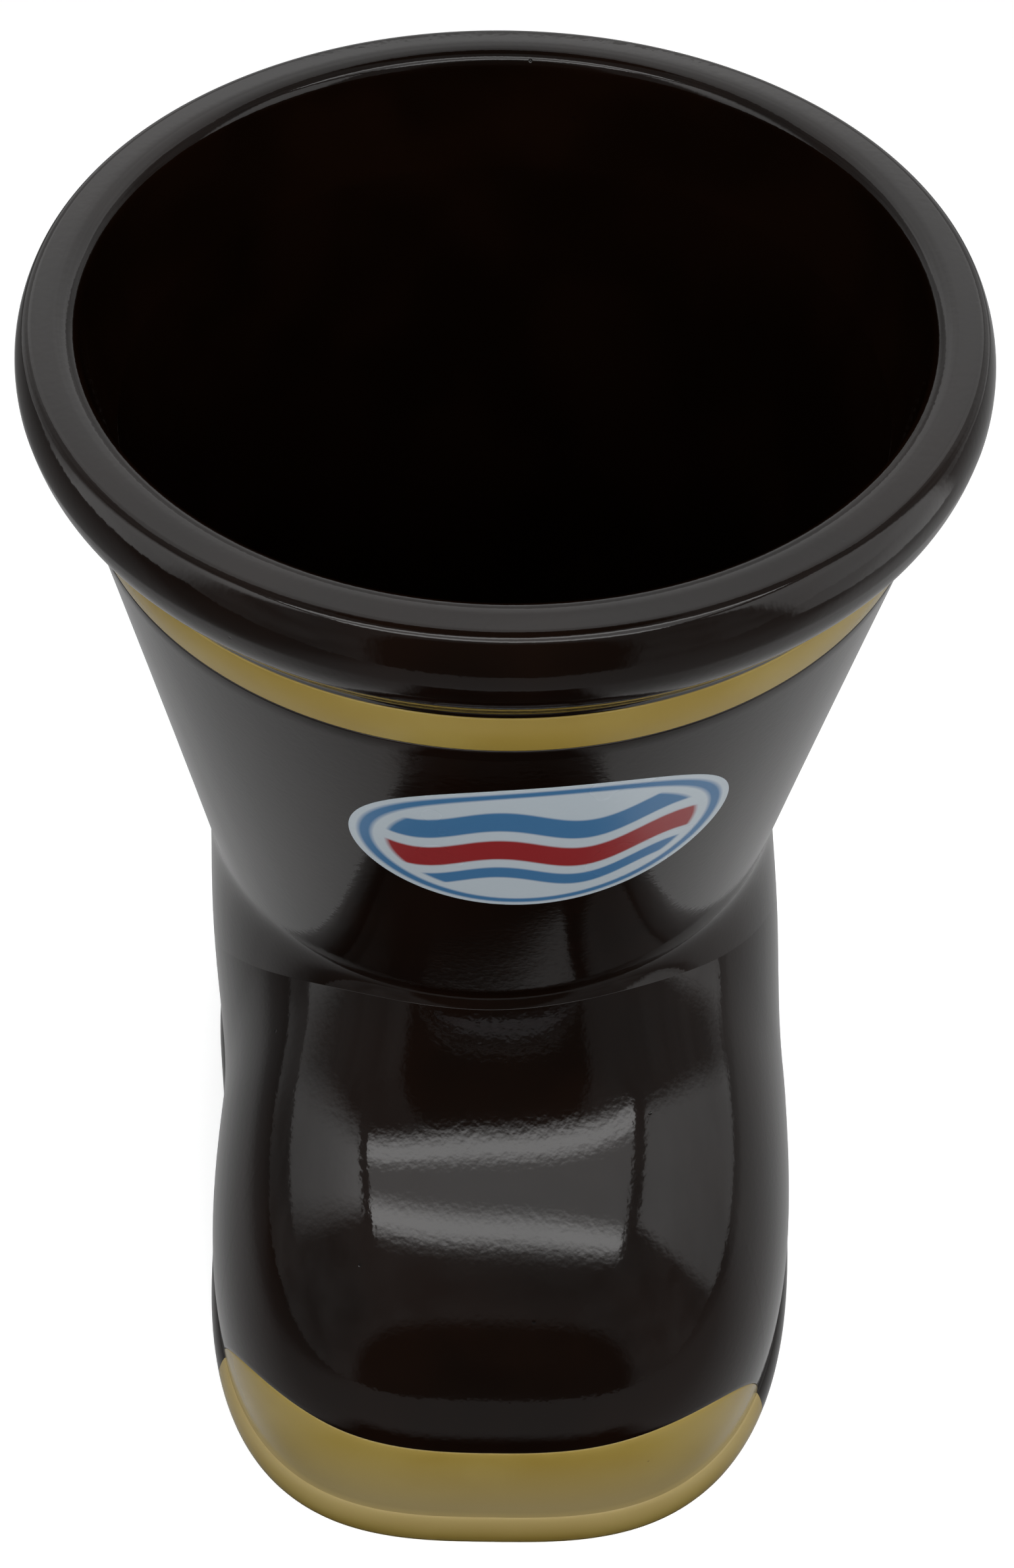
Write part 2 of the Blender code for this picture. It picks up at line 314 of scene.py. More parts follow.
def finish_mesh(piece):
    """Faces out, smooth skin, sharp only at real corners, and the object at the origin."""
    bpy.ops.mesh.select_all(action="SELECT")
    bpy.ops.mesh.normals_make_consistent(inside=False)
    bpy.ops.object.mode_set(mode="OBJECT")
    bpy.ops.object.transform_apply(location=True, rotation=True, scale=True)
    bpy.ops.object.shade_smooth_by_angle(angle=SHARP)
    print(f"{piece.name}: {len(piece.data.polygons)} faces")
    return piece


# %% [markdown]
# ## The upper: leg and foot in one skin
# The real leg and foot are one cast wall, and no seam shows at the ankle, so one piece stands for both
# solids. It starts at the rounded lower edge, climbs the foot and the leg, steps in behind the stripe, and
# comes down inside as the wall of the drinking space. Rings lie closest together at the instep, where the
# skin bends most. A last bridge closes the shell under the toe guard. Beside the guard two rings fall on
# the same place, so doubled vertices are merged, or faces without any area would be left there.

# %% The upper
FOOT_RINGS = 80
LEG_RINGS = 56
INNER_RINGS = 40
GUARD_THICKNESS = 0.0012
SPIGOT_INSET = 0.0027
ROUND_STEPS = 3
SAME_PLACE = 0.000001


def ring_at(z, inset=0.0):
    return [skin(turn, z, inset) for turn, low in columns]


def ring_above_edge(rise, inset=0.0):
    """A ring that follows the upper's lower edge, a little above it."""
    return [skin(turn, low + rise, inset) for turn, low in columns]


def rounding(step):
    """Drop and draw-in of one step of a rounded edge."""
    turn = math.pi / 2 * step / ROUND_STEPS
    return EDGE_ROUND * (1 - math.sin(turn)), EDGE_ROUND * (1 - math.cos(turn))


edge_rings = []
for step in range(ROUND_STEPS, -1, -1):
    rise, draw_in = rounding(step)
    edge_rings.append(ring_above_edge(rise, draw_in))
upper = start_ring("boot_upper", edge_rings[0])
add_rings(upper, edge_rings[1:])
for step in range(1, FOOT_RINGS + 1):
    share = math.sin(math.pi / 2 * step / FOOT_RINGS)
    ring = []
    for (turn, low), bend in zip(columns, bends):
        start = low + EDGE_ROUND
        ring.append(skin(turn, start + share * (bend - start)))
    add_rings(upper, [ring])
leg_end = BAND_BOTTOM - EDGE_ROUND
for step in range(1, LEG_RINGS + 1):
    share = 1 - math.cos(math.pi / 2 * step / LEG_RINGS)
    ring = [skin(turn, bend + share * (leg_end - bend)) for (turn, low), bend in zip(columns, bends)]
    add_rings(upper, [ring])
for step in range(1, ROUND_STEPS + 1):
    rise, draw_in = rounding(step)
    add_rings(upper, [ring_at(BAND_BOTTOM - rise, draw_in)])
neck_inset = BAND_DEPTH + HAIRLINE
neck_top = BAND_TOP - HAIRLINE
add_rings(upper, [ring_at(BAND_BOTTOM, neck_inset), ring_at(neck_top, neck_inset), ring_at(neck_top, WALL)])
inside_rise = ANKLE_HEIGHT - SOLE_HEIGHT - WALL
for step in range(INNER_RINGS, -1, -1):
    add_rings(upper, [ring_at(SOLE_HEIGHT + inside_rise * math.sin(math.pi / 2 * step / INNER_RINGS), WALL)])
below = FLOOR_THICKNESS + HAIRLINE
spigot = [[Vector((*outline(turn, below, inset), 0)) + Vector((0, AXIS_Y, z)) for turn, low in columns]
          for inset, z in ((WALL, below), (SPIGOT_INSET, below), (SPIGOT_INSET, SOLE_HEIGHT))]
add_rings(upper, spigot)
ledge = GUARD_THICKNESS + HAIRLINE
add_rings(upper, [ring_at(SOLE_HEIGHT, ledge), ring_above_edge(0.0, ledge)])
bpy.ops.mesh.select_all(action="DESELECT")
bpy.ops.mesh.select_non_manifold()
bpy.ops.mesh.bridge_edge_loops()
bpy.ops.mesh.select_all(action="SELECT")
bpy.ops.mesh.remove_doubles(threshold=SAME_PLACE)
finish_mesh(upper)

# %% [markdown]
# ## The outsole
# The slab under the foot shows only its rounded edge, and from below its flat face. It is built the same
# way. Under the toe guard its edge is drawn in by the guard's thickness, so that the guard lies flush.

# %% The outsole
LIP_STEPS = 18


def lip_height(step):
    return SOLE_HEIGHT / 2 * (1 - math.cos(math.pi * step / LIP_STEPS))


def sole_ring(z):
    ring = []
    for turn, low in columns:
        inset = ledge if low > SOLE_HEIGHT else 0.0
        ring.append(skin(turn, z, inset))
    return ring


def flat_ring(inset, z):
    return [Vector((*outline(turn, z, inset), 0)) + Vector((0, AXIS_Y, z)) for turn, low in columns]


outsole = start_ring("outsole_slab", sole_ring(0.0))
bpy.ops.mesh.edge_face_add()
sole_top = SOLE_HEIGHT - HAIRLINE
bpy.ops.mesh.extrude_region_move()
place_ring(outsole, sole_ring(lip_height(1)))
for step in range(2, LIP_STEPS + 1):
    add_rings(outsole, [sole_ring(min(lip_height(step), sole_top))])
tray_inset = SPIGOT_INSET - HAIRLINE
add_rings(outsole, [flat_ring(tray_inset, sole_top), flat_ring(tray_inset, FLOOR_THICKNESS)])
finish_mesh(outsole)

# %% [markdown]
# ## The toe guard
# The guard is a thin tan wrap over the toe and the front of the outsole. Its cross-section is a long closed
# strip: up the outside, round the upper edge and down the back. That strip is filled as a face and extruded
# along the toe, column by column, and at each stop it takes the height that the guard's line gives there.

# %% The toe guard
GUARD_STEPS = 20


def guard_strip(turn, top):
    points = [skin(turn, lip_height(step)) for step in range(LIP_STEPS + 1)]
    shoulder = top - HAIRLINE - EDGE_ROUND
    for step in range(1, GUARD_STEPS + 1):
        points.append(skin(turn, SOLE_HEIGHT + (shoulder - SOLE_HEIGHT) * step / GUARD_STEPS))
    for step in range(1, ROUND_STEPS + 1):
        rise, draw_in = rounding(step)
        points.append(skin(turn, top - HAIRLINE - rise, draw_in))
    for step in range(GUARD_STEPS, -1, -1):
        z = SOLE_HEIGHT + (top - HAIRLINE - SOLE_HEIGHT) * step / GUARD_STEPS
        points.append(skin(turn, z, GUARD_THICKNESS))
    for step in range(LIP_STEPS - 1, -1, -1):
        points.append(skin(turn, lip_height(step), GUARD_THICKNESS))
    return points


strips = [guard_strip(turn, low) for turn, low in columns[:len(toe_turns)]]
guard = start_ring("toe_guard", strips[0], fill="NGON")
add_rings(guard, strips[1:])
finish_mesh(guard)

# %% [markdown]
# ## Turned pieces
# The rim roll and the stripe are round, so each is drawn once as a profile and spun round the axis of the
# rim. A profile starts as a plane merged to a single vertex, which is extruded from point to point and
# closed. After the spin, doubled vertices are merged before the faces are turned outwards.

# %% Turning tools
TURN_STEPS = 256
MERGE = 0.000004


def turned(name, profile):
    """Spin a closed profile of radius and height round the axis of the rim."""
    bpy.ops.object.select_all(action="DESELECT")
    bpy.ops.mesh.primitive_plane_add(size=RIM_THICKNESS)
    piece = bpy.context.object
    piece.name = name
    piece.data.name = name
    bpy.ops.object.mode_set(mode="EDIT")
    bpy.ops.mesh.merge(type="CENTER")
    places = [Vector((radius, AXIS_Y, z)) for radius, z in profile]
    bpy.ops.transform.translate(value=places[0])
    for here, ahead in zip(places, places[1:]):
        bpy.ops.mesh.extrude_region_move(TRANSFORM_OT_translate={"value": ahead - here})
    net = bmesh.from_edit_mesh(piece.data)
    for vert in net.verts:
        vert.select = len(vert.link_edges) == 1
    bmesh.update_edit_mesh(piece.data)
    bpy.ops.mesh.edge_face_add()
    bpy.ops.mesh.select_all(action="SELECT")
    bpy.ops.mesh.spin(steps=TURN_STEPS, angle=math.tau, center=(0.0, AXIS_Y, 0.0), axis=(0.0, 0.0, 1.0))
    bpy.ops.mesh.select_all(action="SELECT")
    bpy.ops.mesh.remove_doubles(threshold=MERGE)
    return finish_mesh(piece)


# %% [markdown]
# ## The rim roll
# The drinking rim is a fat roll. Its inner half is a blunt quarter of an oval. Outside, a tight shoulder
# turns the flat top into a long side that swells a little all the way down to its widest place. From there
# it sweeps in to the leg by a squared cosine, which leaves the side upright and meets the leg without a
# step.

# %% The rim roll
ROLL_RADIUS = 0.0452
ROLL_STEPS = 22
ROLL_SQUARENESS = 3.0
ROLL_FLATNESS = 0.9
SHOULDER_ROUND = 0.00133
SIDE_ROUND = 0.0078
SIDE_LEAN = math.radians(31)
SIDE_STEPS = 24
SWEEP_STEPS = 36
SWEEP_LAG = 1.5
half_roll = RIM_THICKNESS / 2
roll_foot = BAND_TOP
roll_profile = []


def squared(value):
    """A sine or cosine bent so that a circle grows blunt corners."""
    return math.copysign(abs(value) ** (2 / ROLL_SQUARENESS), value)


for step in range(ROLL_STEPS + 1):
    turn = math.pi * (1 - step / ROLL_STEPS / 2)
    radius = MOUTH_RADIUS + half_roll + half_roll * squared(math.cos(turn))
    roll_profile.append((radius, RIM_MIDDLE + ROLL_FLATNESS * half_roll * squared(math.sin(turn))))
shoulder_radius = ROLL_RADIUS - SIDE_ROUND + (SIDE_ROUND - SHOULDER_ROUND) * math.cos(SIDE_LEAN)
shoulder_z = RIM_MIDDLE + ROLL_FLATNESS * half_roll - SHOULDER_ROUND
for step in range(SIDE_STEPS + 1):
    lean = math.pi / 2 + (SIDE_LEAN - math.pi / 2) * step / SIDE_STEPS
    radius = shoulder_radius + SHOULDER_ROUND * math.cos(lean)
    roll_profile.append((radius, shoulder_z + SHOULDER_ROUND * math.sin(lean)))
widest = shoulder_z - (SIDE_ROUND - SHOULDER_ROUND) * math.sin(SIDE_LEAN)
for step in range(1, SIDE_STEPS + 1):
    lean = SIDE_LEAN * (1 - step / SIDE_STEPS)
    radius = ROLL_RADIUS + SIDE_ROUND * (math.cos(lean) - 1)
    roll_profile.append((radius, widest + SIDE_ROUND * math.sin(lean)))
for step in range(1, SWEEP_STEPS + 1):
    down = step / SWEEP_STEPS
    z = widest + (roll_foot + EDGE_ROUND - widest) * down
    proud = (ROLL_RADIUS - leg_radius(widest)) * math.cos(math.pi / 2 * down ** SWEEP_LAG) ** 2
    roll_profile.append((leg_radius(z) + proud, z))
for step in range(1, ROUND_STEPS + 1):
    rise, draw_in = rounding(step)
    roll_profile.append((leg_radius(roll_foot) - draw_in, roll_foot + rise))
roll_profile.append((leg_radius(roll_foot) - WALL, roll_foot))
rim_roll = turned("rolled_rim", roll_profile)

# %% [markdown]
# ## The stripe
# The tan stripe lies flush in a shallow step between the roll and the leg. Its two edges are rounded like
# the glaze beside them, and the fine groove that this leaves is the thin dark line along the stripe.

# %% The stripe
stripe_top = BAND_TOP - HAIRLINE
stripe_bottom = BAND_BOTTOM + HAIRLINE
stripe_profile = []
for step in range(ROUND_STEPS, -1, -1):
    rise, draw_in = rounding(step)
    stripe_profile.append((leg_radius(stripe_top) - draw_in, stripe_top - rise))
for step in range(ROUND_STEPS + 1):
    rise, draw_in = rounding(step)
    stripe_profile.append((leg_radius(stripe_bottom) - draw_in, stripe_bottom + rise))
stripe_profile.append((leg_radius(stripe_bottom) - BAND_DEPTH, stripe_bottom))
stripe_profile.append((leg_radius(stripe_top) - BAND_DEPTH, stripe_top))
stripe = turned("cuff_stripe", stripe_profile)

# %% [markdown]
# ## The printed transfer
# A transfer is a thin film of ceramic ink that is slid on to the glaze and fired. It starts here as a flat
# oval with insets for rings of faces. Its flat place is kept as a UV map for the print, and then every
# vertex is wrapped round the leaning leg. Solidify gives the film its thickness.

# %% The transfer
TRANSFER_WIDTH = 0.038
TRANSFER_HEIGHT = 0.025
TRANSFER_LEVEL = 0.093
TRANSFER_TURN = math.radians(7)
TRANSFER_FILM = 0.00008
TRANSFER_SIDES = 128
TRANSFER_RINGS = 11

bpy.ops.object.select_all(action="DESELECT")
bpy.ops.mesh.primitive_circle_add(vertices=TRANSFER_SIDES, radius=1.0, fill_type="NGON")
transfer = bpy.context.object
transfer.name = "oval_transfer"
transfer.data.name = "oval_transfer"
bpy.ops.object.mode_set(mode="EDIT")
for ring in range(TRANSFER_RINGS):
    bpy.ops.mesh.inset(thickness=1 / (TRANSFER_RINGS + 1))
bpy.ops.mesh.poke()
net = bmesh.from_edit_mesh(transfer.data)
print_map = net.loops.layers.uv.new("print")
for face in net.faces:
    for loop in face.loops:
        loop[print_map].uv = (loop.vert.co.x, loop.vert.co.y)
for vert in net.verts:
    z = TRANSFER_LEVEL + vert.co.y * TRANSFER_HEIGHT / 2
    turn = TRANSFER_TURN + vert.co.x * TRANSFER_WIDTH / 2 / leg_radius(TRANSFER_LEVEL)
    radius = leg_radius(z) + HAIRLINE
    middle_x, middle_y = leg_middle(z)
    vert.co = (middle_x + radius * math.sin(turn), AXIS_Y + middle_y - radius * math.cos(turn), z)
bmesh.update_edit_mesh(transfer.data)
bpy.ops.mesh.select_all(action="SELECT")
bpy.ops.mesh.normals_make_consistent(inside=False)
bpy.ops.object.mode_set(mode="OBJECT")
bpy.ops.object.modifier_add(type="SOLIDIFY")
film = transfer.modifiers[-1]
film.thickness = TRANSFER_FILM
film.offset = 1.0
bpy.ops.object.modifier_apply(modifier=film.name)
bpy.ops.object.mode_set(mode="EDIT")
finish_mesh(transfer)

# %% [markdown]
# ## Node helpers
# A material is a small graph. One helper adds a node, sets its options, and takes for each input either a
# plain value or the output of another node.

# %% Node helpers


def add_node(tree, kind, inputs=None, **options):
    node = tree.nodes.new(kind)
    for name, value in options.items():
        setattr(node, name, value)
    for name, value in (inputs or {}).items():
        if isinstance(value, bpy.types.NodeSocket):
            tree.links.new(value, node.inputs[name])
        else:
            node.inputs[name].default_value = value
    return node


def new_group(name, inputs, outputs):
    """A shader node group with float inputs and float outputs."""
    group = bpy.data.node_groups.new(name, "ShaderNodeTree")
    for socket, value in inputs.items():
        made = group.interface.new_socket(socket, in_out="INPUT", socket_type="NodeSocketFloat")
        made.default_value = value
    for socket in outputs:
        group.interface.new_socket(socket, in_out="OUTPUT", socket_type="NodeSocketFloat")
    return group, group.nodes.new("NodeGroupInput"), group.nodes.new("NodeGroupOutput")


def ranged(tree, value, low, high, start, end, smooth=False):
    """Map a value from one range to another, and hold it at the ends."""
    node = add_node(tree, "ShaderNodeMapRange", {"Value": value, "From Min": low, "From Max": high,
                                                 "To Min": start, "To Max": end})
    node.interpolation_type = "SMOOTHSTEP" if smooth else "LINEAR"
    return node.outputs["Result"]


def maths(tree, operation, first, second=0.0):
    node = add_node(tree, "ShaderNodeMath", {0: first, 1: second}, operation=operation)
    return node.outputs["Value"]


def mixed(tree, factor, first, second):
    node = add_node(tree, "ShaderNodeMix", {"Factor": factor}, data_type="RGBA")
    colours = [socket for socket in node.inputs if socket.type == "RGBA"]
    for socket, value in zip(colours, (first, second)):
        if isinstance(value, bpy.types.NodeSocket):
            tree.links.new(value, socket)
        else:
            socket.default_value = (*value, 1.0)
    return [socket for socket in node.outputs if socket.type == "RGBA"][0]


# %% [markdown]
# ## The skin of a glaze
# Fired glaze is glass that once ran. It keeps a fine ripple, the orange peel, over a slower wave from the
# cast wall, and here and there a bubble burst and left a pinhole. All the glazes on the mug share this
# skin, so it is a node group. It puts out a height for the bump, a cloud for the colour, and the pinholes
# as a mask.

# %% The glaze group
PEEL_SIZE = 0.0007
WAVE_SIZE = 0.009
CLOUD_SIZE = 0.016
PINHOLE_SPACING = 0.0075

glaze_skin, group_in, group_out = new_group(
    "glaze_skin", {"Peel": 1.0, "Wave": 1.0, "Pinholes": 1.0}, ("Height", "Cloud", "Pinhole"))
place = add_node(glaze_skin, "ShaderNodeTexCoord").outputs["Object"]


def grain(size, detail):
    node = add_node(glaze_skin, "ShaderNodeTexNoise", {"Vector": place, "Scale": 1 / size, "Detail": detail})
    return node.outputs["Fac"]


peel = maths(glaze_skin, "MULTIPLY", grain(PEEL_SIZE, 1.5), group_in.outputs["Peel"])
wave = maths(glaze_skin, "MULTIPLY", grain(WAVE_SIZE, 1.0), group_in.outputs["Wave"])
cells = add_node(glaze_skin, "ShaderNodeTexVoronoi", {"Vector": place, "Scale": 1 / PINHOLE_SPACING})
hole = ranged(glaze_skin, cells.outputs["Distance"], 0.015, 0.035, 1.0, 0.0, smooth=True)
hole = maths(glaze_skin, "MULTIPLY", hole, group_in.outputs["Pinholes"])
ripple = maths(glaze_skin, "ADD", peel, wave)
height = maths(glaze_skin, "SUBTRACT", ripple, hole)
glaze_skin.links.new(height, group_out.inputs["Height"])
glaze_skin.links.new(grain(CLOUD_SIZE, 3.0), group_out.inputs["Cloud"])
glaze_skin.links.new(hole, group_out.inputs["Pinhole"])
print("node group:", glaze_skin.name)

# %% [markdown]
# ## The dry foot
# Before firing, the potter wipes the glaze off the face that the mug stands on, or it would stick to the
# kiln shelf. The bare clay shows from below. A second group marks the lowest fifth of a millimetre, and
# both the brown and the tan glaze stop there.

# %% The dry foot group
GLAZE_LINE = 0.00022
RAGGED_SIZE = 1 / 260

dry_foot, group_in, group_out = new_group("dry_foot", {}, ("Bare",))
place = add_node(dry_foot, "ShaderNodeTexCoord").outputs["Object"]
height_up = add_node(dry_foot, "ShaderNodeSeparateXYZ", {"Vector": place}).outputs["Z"]
noise = add_node(dry_foot, "ShaderNodeTexNoise", {"Vector": place, "Scale": 1 / RAGGED_SIZE, "Detail": 2.0})
ragged = ranged(dry_foot, noise.outputs["Fac"], 0.3, 0.7, -GLAZE_LINE / 2, GLAZE_LINE / 2)
above_line = maths(dry_foot, "ADD", height_up, ragged)
bare = ranged(dry_foot, above_line, 0.7 * GLAZE_LINE, 1.3 * GLAZE_LINE, 1.0, 0.0, smooth=True)
dry_foot.links.new(bare, group_out.inputs["Bare"])
print("node group:", dry_foot.name)

# %% [markdown]
# ## The two glazes
# Both glazes are clear glass over a stain. The brown is almost black and mirrors the tent round it. The tan
# is paler and a little less even. Each colour drifts between a thin and a thick tone, the pinholes go dark,
# and the roughness follows the same cloud. Over the sole edge the tan carries a painted reflection of the
# white floor: it turns paler, most at the crease and less and less up the toe.

# %% Glaze materials
CLAY = (0.50, 0.44, 0.36)
BUMP_DEPTH = 0.000016
BARE_ROUGHNESS = 0.85
GLAZE_SPECULAR = 0.32
# painted reflection of the white floor on the tan over the sole edge: its share and the heights it spans
REFLECTION_SHARE = 0.65
REFLECTION_START, REFLECTION_FULL = 0.004, 0.009
REFLECTION_FADE, REFLECTION_END = 0.011, 0.022


def glaze(name, thin, thick, pit, smoothest, roughest, peel, wave, painted_reflection=None):
    material = bpy.data.materials.new(name)
    material.use_nodes = True
    tree = material.node_tree
    shader = tree.nodes["Principled BSDF"]
    surface = add_node(tree, "ShaderNodeGroup", node_tree=glaze_skin)
    surface.inputs["Peel"].default_value = peel
    surface.inputs["Wave"].default_value = wave
    foot = add_node(tree, "ShaderNodeGroup", node_tree=dry_foot)
    depth = ranged(tree, surface.outputs["Cloud"], 0.35, 0.65, 0.0, 1.0, smooth=True)
    colour = mixed(tree, depth, thin, thick)
    # painted reflection of the white floor: the tan turns paler over the sole edge, most at the crease
    if painted_reflection:
        place = add_node(tree, "ShaderNodeTexCoord").outputs["Object"]
        z = add_node(tree, "ShaderNodeSeparateXYZ", {"Vector": place}).outputs["Z"]
        above = ranged(tree, z, REFLECTION_START, REFLECTION_FULL, 0.0, REFLECTION_SHARE)
        below = ranged(tree, z, REFLECTION_FADE, REFLECTION_END, REFLECTION_SHARE, 0.0)
        crease = maths(tree, "MINIMUM", above, below)
        colour = mixed(tree, crease, colour, painted_reflection)
    colour = mixed(tree, surface.outputs["Pinhole"], colour, pit)
    colour = mixed(tree, foot.outputs["Bare"], colour, CLAY)
    tree.links.new(colour, shader.inputs["Base Color"])
    gloss = ranged(tree, surface.outputs["Cloud"], 0.3, 0.7, smoothest, roughest)
    gloss = maths(tree, "MAXIMUM", gloss, maths(tree, "MULTIPLY", foot.outputs["Bare"], BARE_ROUGHNESS))
    tree.links.new(gloss, shader.inputs["Roughness"])
    bump = add_node(tree, "ShaderNodeBump", {"Height": surface.outputs["Height"], "Distance": BUMP_DEPTH})
    tree.links.new(bump.outputs["Normal"], shader.inputs["Normal"])
    shader.inputs["Specular IOR Level"].default_value = GLAZE_SPECULAR
    print("material:", name)
    return material


brown = glaze("brown_glaze", (0.0048, 0.0019, 0.0009), (0.0030, 0.0012, 0.0005), (0.0012, 0.0006, 0.0004),
              0.05, 0.09, 0.6, 1.0)
# the tan's last colour is its painted reflection of the white floor over the sole edge
tan = glaze("tan_glaze", (0.265, 0.195, 0.050), (0.235, 0.165, 0.034), (0.10, 0.07, 0.03),
            0.14, 0.22, 0.5, 1.0, painted_reflection=(0.36, 0.29, 0.15))

# %% [markdown]
# ## The print
# The print is plain: a pale oval with a blue border and wavy stripes in blue and red. The stripes are rows
# of a height that a sine wave lifts and lowers, so the whole print is arithmetic on the flat place of each
# point. The ink lies on the glaze and is a little less glossy.

# %% The print
PALE_INK = (0.40, 0.45, 0.49)
BLUE_INK = (0.045, 0.135, 0.27)
RED_INK = (0.22, 0.018, 0.020)
PRINT_SOFTNESS = 0.015
WAVES, SWELL = 7.0, 0.11
FIELD_EDGE = 0.80
BORDER = (0.88, 0.95)
BLUE_ROWS = ((0.22, 0.52), (-0.58, -0.40))
RED_ROW = (-0.26, 0.06)

ink = bpy.data.materials.new("transfer_ink")
ink.use_nodes = True
tree = ink.node_tree
flat = add_node(tree, "ShaderNodeSeparateXYZ",
                {"Vector": add_node(tree, "ShaderNodeUVMap", uv_map="print").outputs["UV"]})
across, up = flat.outputs["X"], flat.outputs["Y"]
from_middle = maths(tree, "SQRT", maths(tree, "ADD", maths(tree, "MULTIPLY", across, across),
                                        maths(tree, "MULTIPLY", up, up)))


def between(value, low, high):
    """One where value lies between low and high, with soft edges."""
    inside = ranged(tree, value, low - PRINT_SOFTNESS, low + PRINT_SOFTNESS, 0.0, 1.0)
    outside = ranged(tree, value, high - PRINT_SOFTNESS, high + PRINT_SOFTNESS, 1.0, 0.0)
    return maths(tree, "MULTIPLY", inside, outside)


swell = maths(tree, "MULTIPLY", maths(tree, "SINE", maths(tree, "MULTIPLY", across, WAVES)), SWELL)
row = maths(tree, "ADD", up, swell)
field = ranged(tree, from_middle, FIELD_EDGE - PRINT_SOFTNESS, FIELD_EDGE + PRINT_SOFTNESS, 1.0, 0.0)
blue_rows = maths(tree, "ADD", between(row, *BLUE_ROWS[0]), between(row, *BLUE_ROWS[1]))
blue = maths(tree, "MAXIMUM", maths(tree, "MULTIPLY", blue_rows, field), between(from_middle, *BORDER))
red = maths(tree, "MULTIPLY", between(row, *RED_ROW), field)
colour = mixed(tree, blue, PALE_INK, BLUE_INK)
colour = mixed(tree, red, colour, RED_INK)
surface = add_node(tree, "ShaderNodeGroup", node_tree=glaze_skin)
surface.inputs["Pinholes"].default_value = 0.0
shader = tree.nodes["Principled BSDF"]
tree.links.new(colour, shader.inputs["Base Color"])
tree.links.new(ranged(tree, surface.outputs["Cloud"], 0.3, 0.7, 0.20, 0.30), shader.inputs["Roughness"])
bump = add_node(tree, "ShaderNodeBump", {"Height": surface.outputs["Height"], "Distance": BUMP_DEPTH})
tree.links.new(bump.outputs["Normal"], shader.inputs["Normal"])
shader.inputs["Specular IOR Level"].default_value = GLAZE_SPECULAR
print("material:", ink.name)

# %% [markdown]
# ## Joining the pieces to the frame
# Each fine piece takes its material, stands in for its solids and rides on the mug's one body.

# %% Dress the frame
dressing = (
    (upper, brown, "brown_glaze", ("leg", "foot")),
    (rim_roll, brown, "brown_glaze", ("rim_roll",)),
    (outsole, brown, "brown_glaze", ("outsole",)),
    (stripe, tan, "tan_glaze", ("cuff_band",)),
    (guard, tan, "tan_glaze", ("toe_bumper",)),
    (transfer, ink, "transfer_ink", ("front_transfer",)),
)
for piece, material, slot, solids in dressing:
    piece.data.materials.clear()
    piece.data.materials.append(material)
    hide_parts(*solids)
    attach(piece, "root")
    print(f"{piece.name} stands for {', '.join(solids)}")

# %% [markdown]
# ## Floor and surroundings
# A shiny dark pot is a picture of what stands round it. This one stood in a small folding tent of white
# cloth, with lamp sheets in the roof, two bright walls and a grey front wall with a dark opening. The floor
# is a white sheet. The camera sees it white, and every other ray sees it in a painted shade of grey, as the
# dimmer cloth that the glaze mirrors. This painted shade is deepest in front and to the left, and a painted
# shadow makes it almost dark on a patch just ahead of the toe.

# %% Floor
FLOOR_HALF = 0.60
FLOOR_FRONT = -0.26
FLOOR_DROP = 0.00005
FLOOR_SEEN = 0.90
# painted shade: the grey that every ray but the camera's sees on the white floor
FLOOR_MIRRORED_SHADE = 0.45
FLOOR_GLOW = 0.37
# painted shade: the floor is painted dimmer in front and to the left
PAINTED_SHADE_SHARE = 0.5               # what is left of the floor's brightness in front and to the left
FRONT_FADE = (-0.10, -0.02)
LEFT_FADE = (-0.17, -0.09)
# painted shadow on a patch just ahead of the toe, seen by every ray but the camera's
SHADE_SHARE = 0.05            # what is left of it on the patch ahead of the toe
SHADE_HALF_WIDTH = 0.037
SHADE_FRONT, SHADE_BACK = -0.105, -0.050
SHADE_EDGE = 0.007

bpy.ops.object.select_all(action="DESELECT")
bpy.ops.mesh.primitive_plane_add(size=2 * FLOOR_HALF, location=(0.0, FLOOR_FRONT + FLOOR_HALF, -FLOOR_DROP))
bpy.ops.object.transform_apply(location=True, rotation=True, scale=True)
floor = bpy.context.object
floor.name = "white_floor"
sheet = bpy.data.materials.new("white_sheet")
sheet.use_nodes = True
tree = sheet.node_tree
shader = tree.nodes["Principled BSDF"]
from_camera = add_node(tree, "ShaderNodeLightPath").outputs["Is Camera Ray"]
place = add_node(tree, "ShaderNodeSeparateXYZ",
                 {"Vector": add_node(tree, "ShaderNodeTexCoord").outputs["Object"]})
# painted shade for every ray but the camera's: the floor grows dimmer in front and to the left
front_painted_shade = ranged(tree, place.outputs["Y"], *FRONT_FADE, PAINTED_SHADE_SHARE, 1.0, smooth=True)
left_painted_shade = ranged(tree, place.outputs["X"], *LEFT_FADE, PAINTED_SHADE_SHARE, 1.0, smooth=True)
# painted shadow: the floor is painted almost dark on a patch just ahead of the toe
shade = ranged(tree, maths(tree, "ABSOLUTE", place.outputs["X"]), SHADE_HALF_WIDTH - SHADE_EDGE,
               SHADE_HALF_WIDTH + SHADE_EDGE, 1.0, 0.0, smooth=True)
for edge, start, end in ((SHADE_FRONT, 0.0, 1.0), (SHADE_BACK, 1.0, 0.0)):
    inside = ranged(tree, place.outputs["Y"], edge - SHADE_EDGE, edge + SHADE_EDGE, start, end, smooth=True)
    shade = maths(tree, "MULTIPLY", shade, inside)
share = maths(tree, "MULTIPLY", front_painted_shade, left_painted_shade)
share = maths(tree, "MULTIPLY", share, ranged(tree, shade, 0.0, 1.0, 1.0, SHADE_SHARE))
mirrored_painted_shade = mixed(tree, share, (0.0,) * 3, (FLOOR_MIRRORED_SHADE,) * 3)
